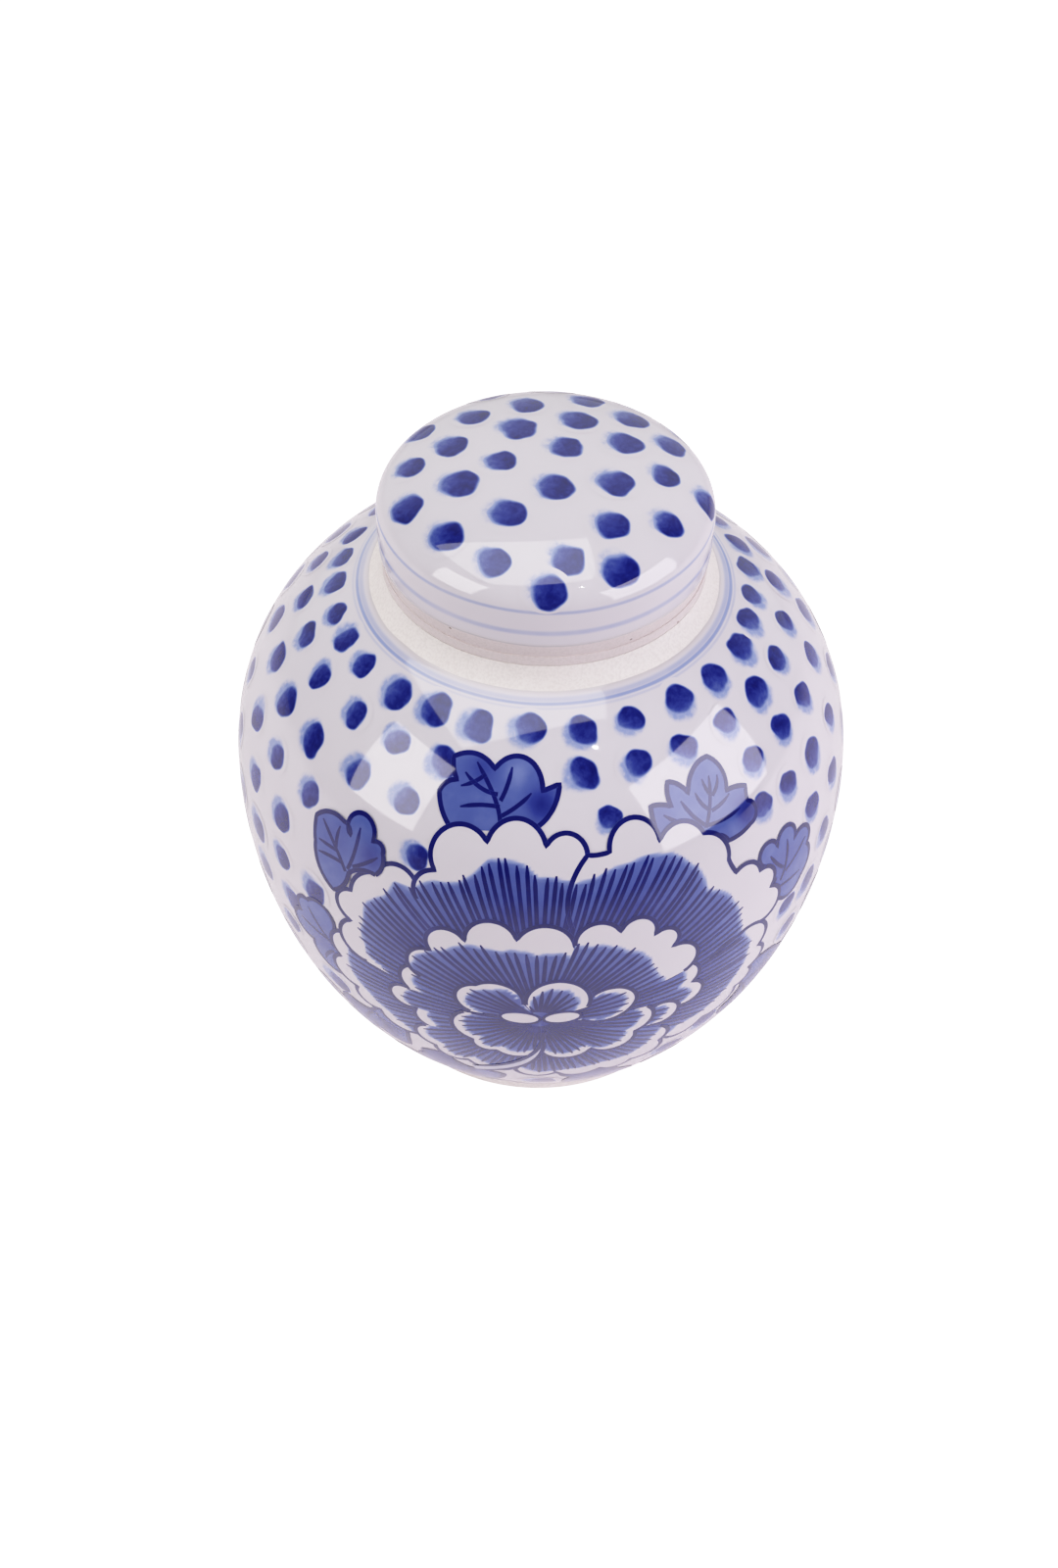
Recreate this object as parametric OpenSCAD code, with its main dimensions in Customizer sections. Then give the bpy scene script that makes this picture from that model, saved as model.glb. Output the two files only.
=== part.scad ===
// Covered ginger jar: a round, hollow porcelain jar and the cap lid that sits over its neck.
// Millimetres, +Z up. The origin is the centre of the foot ring, on the surface the jar stands on.

/* [Jar body] */
// Widest diameter of the body
body_d = 160; // [130:1:200]
// Height of the widest point above the table
belly_h = 90; // [74:1:110]
// Height from the widest point to where the shoulder curve would close over the axis
shoulder_rise = 66.8; // [55:0.1:81]
// Fullness of the shoulder curve: 2 is an ellipse, more is squarer
shoulder_power = 2.22; // [2:0.01:2.6]
// How far below the table the lower body curve would close over the axis
close_below = 14.4; // [10:0.1:30]
// Fullness of the lower body curve: 2 is an ellipse, less is more conical
lower_power = 1.93; // [1.7:0.01:2.3]
// Thickness of the body wall
wall = 4.5; // [3:0.1:6]

/* [Foot] */
// Height of the foot ring
foot_h = 4; // [3:0.1:6]
// Width of the foot ring from inside to outside
foot_w = 6; // [4:0.1:8]
// How far the foot ring stands in from the body above it
foot_step = 0.4; // [0.2:0.1:1]
// Thickness of the floor above the foot ring
floor_t = 5.5; // [4:0.1:8]

/* [Shoulder and neck] */
// Width of the bare shoulder ring outside the lid's rim
bare_w = 4.1; // [3:0.1:6]
// Height that the hollow curve of the bare ring climbs to the lid's seat
cove_rise = 5.6; // [4:0.1:7]
// Angle that the hollow curve of the bare ring turns through
cove_turn = 40; // [20:1:50]
// Height of the neck above the lid's seat
neck_h = 13; // [9:0.1:16]
// Thickness of the neck wall
neck_wall = 3.5; // [3:0.1:4.5]

/* [Lid] */
// Widest diameter of the lid
lid_d = 84.8; // [70:0.2:102]
// Height from the lid's rim to its widest point
lid_side_h = 16.1; // [13:0.1:22]
// Height of the dome above the lid's widest point
dome_rise = 14.4; // [12:0.1:20]
// Fullness of the dome: 2 is an ellipse, more is flatter on top
dome_power = 2.4; // [2:0.01:2.8]
// How far the glazed side leans in from the widest point down to the edge of the glaze
side_lean = 0.5; // [0.2:0.1:1]
// Height of the edge of the glaze above the rim
glaze_h = 7; // [5.5:0.1:8.5]
// Height of the plain band round the rim
rim_band_h = 2.9; // [2:0.1:4]
// How far the rim band stands in from the edge of the glaze
rim_step = 0.8; // [0.4:0.1:1.5]
// How far the bare band above the rim band is cut in behind it
undercut = 0.3; // [0.1:0.1:0.6]
// Thickness of the lid wall
lid_wall = 3.8; // [3:0.1:4.6]

/* [Fit and edges] */
// Gap all round between the neck and the inside of the lid
lid_gap = 1.1; // [0.6:0.1:2]
// Radius on the worked edges of the foot ring and the neck
edge_r = 0.8; // [0.4:0.1:1.2]
// Radius on the lower edge of the lid's rim
rim_edge_r = 0.4; // [0.2:0.1:0.8]

/* [Hidden] */
$fn = 128;

// Straight steps in each long curve of a profile, and in each small one
LONG_STEPS = 32;
SMALL_STEPS = 8;

body_r = body_d / 2;
lid_r = lid_d / 2;
lower_depth = belly_h + close_below;

// Point at angle a on a full quarter curve of half-width w, height h and fullness p
function curve_point(a, w, h, p) = [w * pow(cos(a), 2 / p), h * pow(sin(a), 2 / p)];

// Angle on that curve at which its half-width is r, and at which its height is z
function angle_at_radius(r, w, p) = acos(pow(r / w, p / 2));
function angle_at_height(z, h, p) = asin(pow(z / h, p / 2));

// Points on that curve from angle a0 to a1, both ends included
function curve_points(w, h, p, a0, a1) =
    [for (i = [0:LONG_STEPS]) curve_point(a0 + (a1 - a0) * i / LONG_STEPS, w, h, p)];

// Shifts a row of points up, or turns it upside down below height z
function raised(points, z) = [for (q = points) [q[0], z + q[1]]];
function hung(points, z) = [for (q = points) [q[0], z - q[1]]];
function reversed(points) = [for (i = [len(points) - 1:-1:0]) points[i]];

// Round edge about centre c from angle a0 to a1
function edge_points(c, r, a0, a1) =
    [for (i = [0:SMALL_STEPS]) let (a = a0 + (a1 - a0) * i / SMALL_STEPS) c + r * [cos(a), sin(a)]];

// Lower body curve, from height z up to the widest point, t inside the outer surface
function lower_curve(t, z) =
    let (a = angle_at_height(belly_h - z, lower_depth - t, lower_power))
    hung(curve_points(body_r - t, lower_depth - t, lower_power, a, 0), belly_h);

// Shoulder curve, from the widest point up to where its radius is r, t inside the outer surface
function shoulder_curve(t, r) =
    let (a = angle_at_radius(r, body_r - t, shoulder_power))
    raised(curve_points(body_r - t, shoulder_rise - t, shoulder_power, 0, a), belly_h);

// Without its first point, so that two curves that meet share one point
function tail(points) = [for (i = [1:len(points) - 1]) points[i]];

// The lid's rim sets the seat, the bare ring outside it and the neck inside it
rim_r = lid_r - side_lean - rim_step;
rim_in_r = rim_r - lid_wall;
bare_r = rim_r + bare_w;
neck_r = rim_in_r - lid_gap;
mouth_r = neck_r - neck_wall;
bare_z = shoulder_curve(0, bare_r)[LONG_STEPS][1];
seat_z = bare_z + cove_rise;
neck_top = seat_z + neck_h;
foot_r = lower_curve(0, foot_h)[0][0] - foot_step;
foot_in_r = foot_r - foot_w;
floor_z = foot_h + floor_t;

// Hollow curve of the bare ring, from the edge of the glaze up to the lid's seat
function cove_points() =
    let (
        start = [bare_r, bare_z],
        chord = [rim_r, seat_z] - start,
        heading = atan2(chord[1], chord[0]) + cove_turn / 2,
        r = norm(chord) / (2 * sin(cove_turn / 2)),
        centre = start + r * [sin(heading), -cos(heading)]
    )
    [for (i = [1:SMALL_STEPS]) let (a = heading + 90 - cove_turn * i / SMALL_STEPS) centre + r * [cos(a), sin(a)]];

// Jar: body, foot ring, bare shoulder ring and neck are one fired piece
module jar() {
    color("ghostwhite")
    rotate_extrude()
    polygon(concat(
        [[0, foot_h], [foot_in_r, foot_h]],
        edge_points([foot_in_r + edge_r, edge_r], edge_r, 180, 270),
        edge_points([foot_r - edge_r, edge_r], edge_r, 270, 360),
        [[foot_r, foot_h]],
        lower_curve(0, foot_h),
        tail(shoulder_curve(0, bare_r)),
        cove_points(),
        [[neck_r, seat_z]],
        edge_points([neck_r - edge_r, neck_top - edge_r], edge_r, 0, 90),
        edge_points([mouth_r + edge_r, neck_top - edge_r], edge_r, 90, 180),
        reversed(tail(shoulder_curve(wall, mouth_r))),
        reversed(lower_curve(wall, floor_z)),
        [[0, floor_z]]
    ));
}

// Lid: a hollow cap whose rim rests on the seat round the neck
module lid() {
    in_r = lid_r - lid_wall;
    in_rise = dome_rise - lid_wall;
    color("aliceblue")
    translate([0, 0, seat_z])
    rotate_extrude()
    polygon(concat(
        [[rim_in_r, 0]],
        edge_points([rim_r - rim_edge_r, rim_edge_r], rim_edge_r, 270, 360),
        [[rim_r, rim_band_h], [rim_r - undercut, rim_band_h], [lid_r - side_lean, glaze_h]],
        raised(curve_points(lid_r, dome_rise, dome_power, 0, 90), lid_side_h),
        raised(curve_points(in_r, in_rise, dome_power, 90, 0), lid_side_h)
    ));
}

jar();
lid();
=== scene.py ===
import math
import random

import bpy
import numpy as np
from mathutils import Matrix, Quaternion, Vector
from mathutils.geometry import delaunay_2d_cdt


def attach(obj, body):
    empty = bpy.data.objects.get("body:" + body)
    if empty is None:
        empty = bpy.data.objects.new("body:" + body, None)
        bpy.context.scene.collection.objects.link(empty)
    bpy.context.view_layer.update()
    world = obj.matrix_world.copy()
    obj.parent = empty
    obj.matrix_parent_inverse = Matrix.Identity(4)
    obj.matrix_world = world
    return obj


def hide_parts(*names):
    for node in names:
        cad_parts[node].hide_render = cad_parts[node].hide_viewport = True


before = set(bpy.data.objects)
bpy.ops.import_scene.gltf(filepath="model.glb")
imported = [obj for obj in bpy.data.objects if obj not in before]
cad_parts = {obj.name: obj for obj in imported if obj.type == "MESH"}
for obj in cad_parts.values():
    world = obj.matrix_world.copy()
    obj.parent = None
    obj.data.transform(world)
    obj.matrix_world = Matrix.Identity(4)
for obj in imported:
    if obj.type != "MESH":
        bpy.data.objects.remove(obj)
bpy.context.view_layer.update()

# Covered ginger jar in blue and white porcelain. The foot ring stands on the table at the origin.
# The camera and the studio come first, then the jar, its lid, and what the painter put on them.

# ---- Camera ---------------------------------------------------------------------------------
# A short telephoto about 0.9 m off, looking down at the belly of the jar from the front.

EYE = Vector((0.0, -0.6446, 0.6891))
BELLY_MIDDLE = Vector((0.0, 0.0, 0.090))
HEAD_TILT = 1.16


def stand(name, data):
    """New object in the scene."""
    made = bpy.data.objects.new(name, data)
    bpy.context.collection.objects.link(made)
    return made


camera_data = bpy.data.cameras.new("camera")
camera_data.sensor_width = 36.0
camera_data.lens = 76.1
camera_data.shift_x = -0.0076
camera_data.shift_y = -0.0271
camera = stand("camera", camera_data)
camera.location = EYE
camera.rotation_mode = "QUATERNION"
aim = (BELLY_MIDDLE - EYE).to_track_quat("-Z", "Y")
camera.rotation_quaternion = aim @ Quaternion((0.0, 0.0, 1.0), math.radians(HEAD_TILT))
bpy.context.scene.camera = camera

# The film holds shadows and mid tones as they are and rolls off gently towards white.
FILM = [
    (0.0, 0.0), (0.10, 0.20), (0.20, 0.395), (0.30, 0.56),
    (0.40, 0.69), (0.50, 0.79), (0.70, 0.93), (1.0, 1.0),
]
FILM_WHITE = 2.0

film = bpy.context.scene.view_settings
film.view_transform = "Standard"
film.use_curve_mapping = True
film.curve_mapping.white_level = (FILM_WHITE, FILM_WHITE, FILM_WHITE)
film_curve = film.curve_mapping.curves[3]
film_curve.points[0].location = FILM[0]
film_curve.points[1].location = FILM[-1]
for light, shown in FILM[1:-1]:
    film_curve.points.new(light, shown)
film.curve_mapping.update()

# ---- Studio ---------------------------------------------------------------------------------
# A wide table, shown plain white. Its colour is a painted glow round the jar and painted shade in
# front of it, bright round the jar and dim in front. It is lit by a softbox at each side, a third
# overhead and a small bare lamp. The room is dark in front and has a bright backdrop behind.

ROOM_LIGHT = 0.09
BACKDROP_LIGHT = 0.85
BACKDROP_FROM = 0.30
BACKDROP_TO = 0.85
TABLE_GLOW = 0.32
TABLE_WHITE = 2.2
TABLE_ROUGHNESS = 0.9
TABLE_HALF = 4.0
TABLE_DROP = 0.0003
# Tones of the table's painted glow round the jar and of its painted shade in front of it.
TABLE_GLOW_TONE = (0.83, 0.77, 0.80, 1.0)
TABLE_PAINTED_SHADE = (0.16, 0.15, 0.155, 1.0)
PAINTED_SHADE_FROM = -0.07
PAINTED_SHADE_TO = -0.52
LAMPS_AIM = Vector((0.0, 0.0, 0.12))


def put(tree, kind, inputs=None, **settings):
    """Adds a node with these settings, and fills or links its inputs."""
    node = tree.nodes.new(kind)
    for setting, value in settings.items():
        setattr(node, setting, value)
    for socket, value in (inputs or {}).items():
        if isinstance(value, bpy.types.NodeSocket):
            tree.links.new(value, node.inputs[socket])
        else:
            node.inputs[socket].default_value = value
    return node


world = bpy.data.worlds.new("studio")
world.use_nodes = True
bpy.context.scene.world = world
room = world.node_tree
room.nodes.clear()
facing = put(room, "ShaderNodeTexCoord").outputs["Generated"]
behind = put(room, "ShaderNodeSeparateXYZ", {"Vector": facing}).outputs["Y"]
behind = put(room, "ShaderNodeMapRange", {
    "Value": behind, "From Min": BACKDROP_FROM, "From Max": BACKDROP_TO,
    "To Min": ROOM_LIGHT, "To Max": BACKDROP_LIGHT,
}, interpolation_type="SMOOTHSTEP").outputs[0]
walls = put(room, "ShaderNodeBackground", {"Color": (1.0, 0.98, 0.99, 1.0), "Strength": behind})
white = put(room, "ShaderNodeBackground", {"Color": (1.0, 1.0, 1.0, 1.0), "Strength": TABLE_WHITE})
seen = put(room, "ShaderNodeLightPath").outputs["Is Camera Ray"]
around = put(room, "ShaderNodeMixShader", {0: seen, 1: walls.outputs[0], 2: white.outputs[0]})
put(room, "ShaderNodeOutputWorld", {"Surface": around.outputs[0]})

table_mesh = bpy.data.meshes.new("table")
corners = [(-1, -1), (1, -1), (1, 1), (-1, 1)]
corners = [(x * TABLE_HALF, y * TABLE_HALF, -TABLE_DROP) for x, y in corners]
table_mesh.from_pydata(corners, [], [(0, 1, 2, 3)])
table = stand("table", table_mesh)
table_paint = bpy.data.materials.new("white table")
table_paint.use_nodes = True
table_nodes = table_paint.node_tree
table_shader = table_nodes.nodes["Principled BSDF"]
table_shader.inputs["Roughness"].default_value = TABLE_ROUGHNESS
# Painted shade and glow: the table's colour runs from a pale tone round the jar to a dark one in front, and
# the table glows in that colour, lighting the jar from below.
spot_on_table = put(table_nodes, "ShaderNodeTexCoord").outputs["Object"]
depth_on_table = put(table_nodes, "ShaderNodeSeparateXYZ", {"Vector": spot_on_table}).outputs["Y"]
painted_shade = put(table_nodes, "ShaderNodeMapRange", {
    "Value": depth_on_table, "From Min": PAINTED_SHADE_FROM, "From Max": PAINTED_SHADE_TO,
}, interpolation_type="SMOOTHSTEP").outputs[0]
tones = {0: painted_shade, 6: TABLE_GLOW_TONE, 7: TABLE_PAINTED_SHADE}
painted_glow_and_shade = put(table_nodes, "ShaderNodeMix", tones, data_type="RGBA").outputs[2]
table_nodes.links.new(painted_glow_and_shade, table_shader.inputs["Base Color"])
table_nodes.links.new(painted_glow_and_shade, table_shader.inputs["Emission Color"])
table_shader.inputs["Emission Strength"].default_value = TABLE_GLOW
glare = put(table_nodes, "ShaderNodeEmission", {"Strength": TABLE_WHITE})
seen = put(table_nodes, "ShaderNodeLightPath").outputs["Is Camera Ray"]
top = put(table_nodes, "ShaderNodeMixShader", {0: seen, 1: table_shader.outputs[0], 2: glare.outputs[0]})
table_nodes.links.new(top.outputs[0], table_nodes.nodes["Material Output"].inputs["Surface"])
table_mesh.materials.append(table_paint)


def softbox(name, azimuth, elevation, distance, width, height, brightness, tint):
    """Rectangular lamp that faces the jar. Azimuth 0 is in front, and 90 on the right."""
    data = bpy.data.lights.new(name, "AREA")
    data.shape = "RECTANGLE"
    data.size = width
    data.size_y = height
    data.energy = brightness * width * height * math.pi
    data.color = tint
    lamp = stand(name, data)
    a = math.radians(azimuth)
    e = math.radians(elevation)
    way = Vector((math.sin(a) * math.cos(e), -math.cos(a) * math.cos(e), math.sin(e)))
    lamp.location = LAMPS_AIM + way * distance
    lamp.rotation_mode = "QUATERNION"
    lamp.rotation_quaternion = (-way).to_track_quat("-Z", "Y")
    lamp.visible_camera = False


softbox("left softbox", -57.5, 25, 1.5, 0.76, 1.00, 4.8, (1.0, 0.95, 0.965))
softbox("right softbox", 65, 19, 1.5, 1.32, 1.06, 4.5, (1.0, 0.93, 1.03))
softbox("overhead softbox", -74, 80.5, 1.09, 0.86, 1.02, 2.7, (1.0, 0.99, 1.0))
softbox("bare lamp", 32.5, 56.5, 1.3, 0.03, 0.03, 60.0, (1.0, 1.0, 1.0))

# ---- Jar ------------------------------------------------------------------------------------
# Thrown and turned from one piece of porcelain, glazed inside and out but for the foot, the
# hollow ring where the lid sits, and the outside of the neck. Three soft lines, close together,
# ring the top of the shoulder.

MM = 0.001
TURN_STEPS = 320
CURVE_POINTS = 400
EDGE_POINTS = 7
COVE_POINTS = 9
SAME_POINT = 1e-4
SHARP_ANGLE = 35.0
LOWER_STEP = 1.35
SHOULDER_STEP = 1.2
INSIDE_UPPER_STEP = 2.0
INSIDE_LOWER_STEP = 2.2
BODY_R = 80.0
BELLY_H = 90.0
SHOULDER_RISE = 66.8
SHOULDER_POWER = 2.22
LOWER_DEPTH = 104.4
LOWER_POWER = 1.93
WALL = 4.5
RING_R = 45.2
RIM_R = 41.1
COVE_RISE = 5.6
COVE_TURN = 40.0
NECK_R = 36.2
NECK_H = 13.0
NECK_LOWER_H = 6.0
MOUTH_R = 32.7
EDGE_R = 0.8
FOOT_H = 4.0
FOOT_W = 6.0
FOOT_STEP = 0.4
FOOT_GLAZE_Z = 2.2
FOOT_IN_GLAZE_Z = 2.4
FLOOR_Z = 9.5

# Colours of the glaze, thin, thick and where it stops; of the bare body; and of cobalt, by how
# much of it the brush has left.
GLAZE = (219, 215, 221)
DEEP_GLAZE = (209, 205, 215)
GLAZE_ROLL = (204, 197, 196)
BISCUIT = (249, 244, 239)
BISCUIT_STAIN = (214, 203, 198)
BISCUIT_GRAIN = (188, 178, 172)
PIN_HOLE = (112, 88, 74)
COBALT = [
    (0.0, (180, 186, 214)),
    (0.28, (134, 149, 200)),
    (0.52, (76, 92, 162)),
    (0.72, (40, 52, 138)),
    (0.88, (16, 24, 114)),
    (1.0, (5, 8, 92)),
]
GLAZE_ROUGHNESS = 0.05
BISCUIT_ROUGHNESS = 0.62
GLAZE_IOR = 1.64
GRAIN_SCALE = 1500.0
PIN_HOLE_SCALE = 230.0


def full_curve(width, height, power, first, last):
    """Radius and height along a full quarter curve, from one angle to another, in degrees."""
    angle = np.radians(np.linspace(first, last, CURVE_POINTS))
    across = np.clip(np.cos(angle), 0.0, 1.0) ** (2.0 / power)
    up = np.clip(np.sin(angle), 0.0, 1.0) ** (2.0 / power)
    return np.stack([width * across, height * up], axis=1)


def angle_at_radius(radius, width, power):
    return math.degrees(math.acos((radius / width) ** (power / 2.0)))


def angle_at_height(height, rise, power):
    return math.degrees(math.asin((height / rise) ** (power / 2.0)))


def arc_along(points):
    """Distance along a line at each of its points."""
    return np.concatenate([[0.0], np.cumsum(np.hypot(*np.diff(points, axis=0).T))])


def evenly(points, gap):
    """The same line with points about one gap apart."""
    points = np.asarray(points, float)
    arc = arc_along(points)
    count = max(2, int(round(arc[-1] / gap)) + 1)
    wanted = np.linspace(0.0, arc[-1], count)
    return np.stack([np.interp(wanted, arc, column) for column in points.T], axis=1)


def round_edge(middle_r, middle_z, radius, first, last):
    angle = np.radians(np.linspace(first, last, EDGE_POINTS))
    return np.stack([middle_r + radius * np.cos(angle), middle_z + radius * np.sin(angle)], axis=1)


def shoulder(inset, radius):
    """From the widest point up to where the shoulder has this radius, so far inside the outer face."""
    top = angle_at_radius(radius, BODY_R - inset, SHOULDER_POWER)
    line = full_curve(BODY_R - inset, SHOULDER_RISE - inset, SHOULDER_POWER, 0.0, top)
    return line + (0.0, BELLY_H)


def lower_body(inset, height):
    """From this height up to the widest point, so far inside the outer face."""
    low = angle_at_height(BELLY_H - height, LOWER_DEPTH - inset, LOWER_POWER)
    line = full_curve(BODY_R - inset, LOWER_DEPTH - inset, LOWER_POWER, low, 0.0)
    return np.stack([line[:, 0], BELLY_H - line[:, 1]], axis=1)


FOOT_R = round(lower_body(0.0, FOOT_H)[0][0] - FOOT_STEP, 3)
FOOT_IN_R = FOOT_R - FOOT_W
RING_Z = shoulder(0.0, RING_R)[-1][1]
SEAT_Z = RING_Z + COVE_RISE
NECK_TOP = SEAT_Z + NECK_H


def cove():
    """The hollow curve of the bare ring, from the edge of the glaze up to the lid's seat."""
    start = np.array([RING_R, RING_Z])
    chord = np.array([RIM_R, SEAT_Z]) - start
    heading = math.atan2(chord[1], chord[0]) + math.radians(COVE_TURN / 2.0)
    radius = np.hypot(*chord) / (2.0 * math.sin(math.radians(COVE_TURN / 2.0)))
    middle = start + radius * np.array([math.sin(heading), -math.cos(heading)])
    angle = heading + math.pi / 2.0 - np.radians(np.linspace(0.0, COVE_TURN, COVE_POINTS))
    return middle + radius * np.stack([np.cos(angle), np.sin(angle)], axis=1)


def give_values(mesh, label, values):
    """Stores one number at each point of a mesh."""
    values = np.array(values, dtype=np.float32)
    mesh.attributes.new(label, "FLOAT", "POINT").data.foreach_set("value", values)


def turned(name, stretches):
    """Mesh turned from stretches of (points, glazed).

    Each point keeps its distance from the edge of the glaze, and its distance along the wall.
    """
    line = []
    glazed = []
    for points, has_glaze in stretches:
        for point in points:
            if line and math.dist(point, line[-1]) < SAME_POINT:
                continue
            line.append(tuple(point))
            glazed.append(has_glaze)
    line = np.array(line)
    glazed = np.array(glazed)
    arc = arc_along(line)
    changes = [arc[i] for i in range(1, len(line)) if glazed[i] != glazed[i - 1]]
    nearest = np.min(np.abs(arc[:, None] - np.array(changes)[None, :]), axis=1)
    edge = np.where(glazed, nearest, -nearest)
    turns = np.arange(TURN_STEPS) * 2.0 * math.pi / TURN_STEPS
    verts = []
    rings = []
    edge_values = []
    arc_values = []
    for (radius, height), distance, along in zip(line, edge, arc):
        count = 1 if radius < SAME_POINT else TURN_STEPS
        if rings and math.dist((radius, height), line[0]) < SAME_POINT:
            rings.append(rings[0])
            continue
        rings.append([len(verts) + k for k in range(count)])
        for k in range(count):
            verts.append((radius * math.cos(turns[k]) * MM, radius * math.sin(turns[k]) * MM, height * MM))
            edge_values.append(distance)
            arc_values.append(along)
    faces = []
    for low, high in zip(rings, rings[1:]):
        if len(low) == 1 and len(high) == 1:
            continue
        for k in range(TURN_STEPS):
            n = (k + 1) % TURN_STEPS
            if len(low) == 1:
                faces.append((low[0], high[n], high[k]))
            elif len(high) == 1:
                faces.append((low[k], low[n], high[0]))
            else:
                faces.append((low[k], low[n], high[n], high[k]))
    mesh = bpy.data.meshes.new(name)
    mesh.from_pydata(verts, [], faces)
    give_values(mesh, "glaze_edge", edge_values)
    give_values(mesh, "along_wall", arc_values)
    mesh.shade_smooth()
    mesh.set_sharp_from_angle(angle=math.radians(SHARP_ANGLE))
    return mesh, line, arc


def new_group(name, inputs, outputs):
    """Empty shader node group with named inputs and outputs."""
    group = bpy.data.node_groups.new(name, "ShaderNodeTree")
    for label, kind, start in inputs:
        socket = group.interface.new_socket(label, in_out="INPUT", socket_type=kind)
        if start is not None:
            socket.default_value = start
    for label, kind in outputs:
        group.interface.new_socket(label, in_out="OUTPUT", socket_type=kind)
    return group, group.nodes.new("NodeGroupInput").outputs, group.nodes.new("NodeGroupOutput")


def reckon(tree, operation, a, b=0.0, c=0.0, clamp=False):
    """Result of one Math node."""
    node = put(tree, "ShaderNodeMath", {0: a, 1: b, 2: c}, operation=operation)
    node.use_clamp = clamp
    return node.outputs[0]


def fade(tree, value, first, last, low=0.0, high=1.0):
    """Smooth change from low at first to high at last."""
    ends = {0: value, 1: first, 2: last, 3: low, 4: high}
    return put(tree, "ShaderNodeMapRange", ends, interpolation_type="SMOOTHSTEP").outputs[0]


def cloud(tree, place, scale, detail=2.0):
    """Soft noise between 0 and 1."""
    node = put(tree, "ShaderNodeTexNoise", {"Vector": place, "Scale": scale, "Detail": detail})
    return node.outputs["Fac"]


def blend_colours(tree, amount, first, second):
    return put(tree, "ShaderNodeMix", {0: amount, 6: first, 7: second}, data_type="RGBA").outputs[2]


def shade(colour):
    """Colour from its 0 to 255 values, as the shaders want it."""
    parts = [value / 255.0 for value in colour]
    linear = [v / 12.92 if v <= 0.04045 else ((v + 0.055) / 1.055) ** 2.4 for v in parts]
    return (*linear, 1.0)


def porcelain_ground():
    """Glazed or bare porcelain: colour, roughness and height in mm. The glaze stops in a soft roll."""
    group, given, out = new_group(
        "porcelain ground",
        [
            ("Place", "NodeSocketVector", None),
            ("Glaze Edge", "NodeSocketFloat", 99.0),
            ("Glaze", "NodeSocketColor", shade(GLAZE)),
            ("Biscuit", "NodeSocketColor", shade(BISCUIT)),
        ],
        [("Colour", "NodeSocketColor"), ("Roughness", "NodeSocketFloat"), ("Height", "NodeSocketFloat")],
    )
    place = given["Place"]

    # The edge of the glaze wanders by about half a millimetre.
    wander = reckon(group, "MULTIPLY_ADD", cloud(group, place, 60.0), 0.9, -0.45)
    edge = reckon(group, "ADD", given["Glaze Edge"], wander)
    bare = fade(group, edge, -0.12, 0.12, 1.0, 0.0)

    # Glaze is a little uneven in depth, and thicker where it rolls to its edge.
    depth = cloud(group, place, 24.0, 3.0)
    deeper = blend_colours(group, 0.5, given["Glaze"], shade(DEEP_GLAZE))
    glaze = blend_colours(group, depth, given["Glaze"], deeper)
    thick = fade(group, edge, 0.1, 1.3, 0.55, 0.0)
    glaze = blend_colours(group, thick, glaze, shade(GLAZE_ROLL))

    # The bare body is faintly stained and grainy, with a pin hole here and there.
    stain = reckon(group, "MULTIPLY", cloud(group, place, 70.0, 3.0), 0.4)
    biscuit = blend_colours(group, stain, given["Biscuit"], shade(BISCUIT_STAIN))
    speckle = fade(group, cloud(group, place, GRAIN_SCALE, 3.0), 0.38, 0.68, 0.0, 0.22)
    biscuit = blend_colours(group, speckle, biscuit, shade(BISCUIT_GRAIN))
    cells = put(group, "ShaderNodeTexVoronoi", {"Vector": place, "Scale": PIN_HOLE_SCALE})
    hole = fade(group, cells.outputs["Distance"], 0.06, 0.11, 1.0, 0.0)
    luck = put(group, "ShaderNodeSeparateColor", {"Color": cells.outputs["Color"]}).outputs[0]
    hole = reckon(group, "MULTIPLY", hole, reckon(group, "GREATER_THAN", luck, 0.60))
    biscuit = blend_colours(group, reckon(group, "MULTIPLY", hole, 0.85), biscuit, shade(PIN_HOLE))
    colour = blend_colours(group, bare, glaze, biscuit)
    roughness = fade(group, bare, 0.0, 1.0, GLAZE_ROUGHNESS, BISCUIT_ROUGHNESS)

    # Heights: a slow ripple in the glaze, its roll at the edge, and the tooth of the bare body.
    ripple = reckon(group, "MULTIPLY", cloud(group, place, 75.0, 1.0), 0.012)
    tooth = reckon(group, "MULTIPLY", cloud(group, place, GRAIN_SCALE, 2.0), 0.03)
    tooth = reckon(group, "MULTIPLY_ADD", hole, -0.12, tooth)
    roll = fade(group, edge, -0.15, 0.55, 0.0, 0.16)
    height = reckon(group, "ADD", ripple, roll)
    height = reckon(group, "MULTIPLY_ADD", bare, tooth, height)
    group.links.new(colour, out.inputs["Colour"])
    group.links.new(roughness, out.inputs["Roughness"])
    group.links.new(height, out.inputs["Height"])
    return group


def cobalt_under_glaze():
    """Colour of the ground with this much cobalt on it, from none to as dark as the brush lays it."""
    group, given, out = new_group(
        "cobalt under glaze",
        [
            ("Place", "NodeSocketVector", None),
            ("Ground", "NodeSocketColor", None),
            ("Cobalt", "NodeSocketFloat", 0.0),
        ],
        [("Colour", "NodeSocketColor")],
    )
    pool = reckon(group, "MULTIPLY_ADD", cloud(group, given["Place"], 140.0, 3.0), 0.36, 0.82)
    cobalt = reckon(group, "MULTIPLY", given["Cobalt"], pool, clamp=True)
    ramp = put(group, "ShaderNodeValToRGB", {"Fac": cobalt})
    tones = ramp.color_ramp.elements
    tones[0].color = shade(COBALT[0][1])
    tones[1].color = shade(COBALT[-1][1])
    for position, colour in COBALT[1:-1]:
        tones.new(position).color = shade(colour)
    cover = fade(group, cobalt, 0.0, 0.22)
    group.links.new(blend_colours(group, cover, given["Ground"], ramp.outputs["Color"]), out.inputs["Colour"])
    return group


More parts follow.
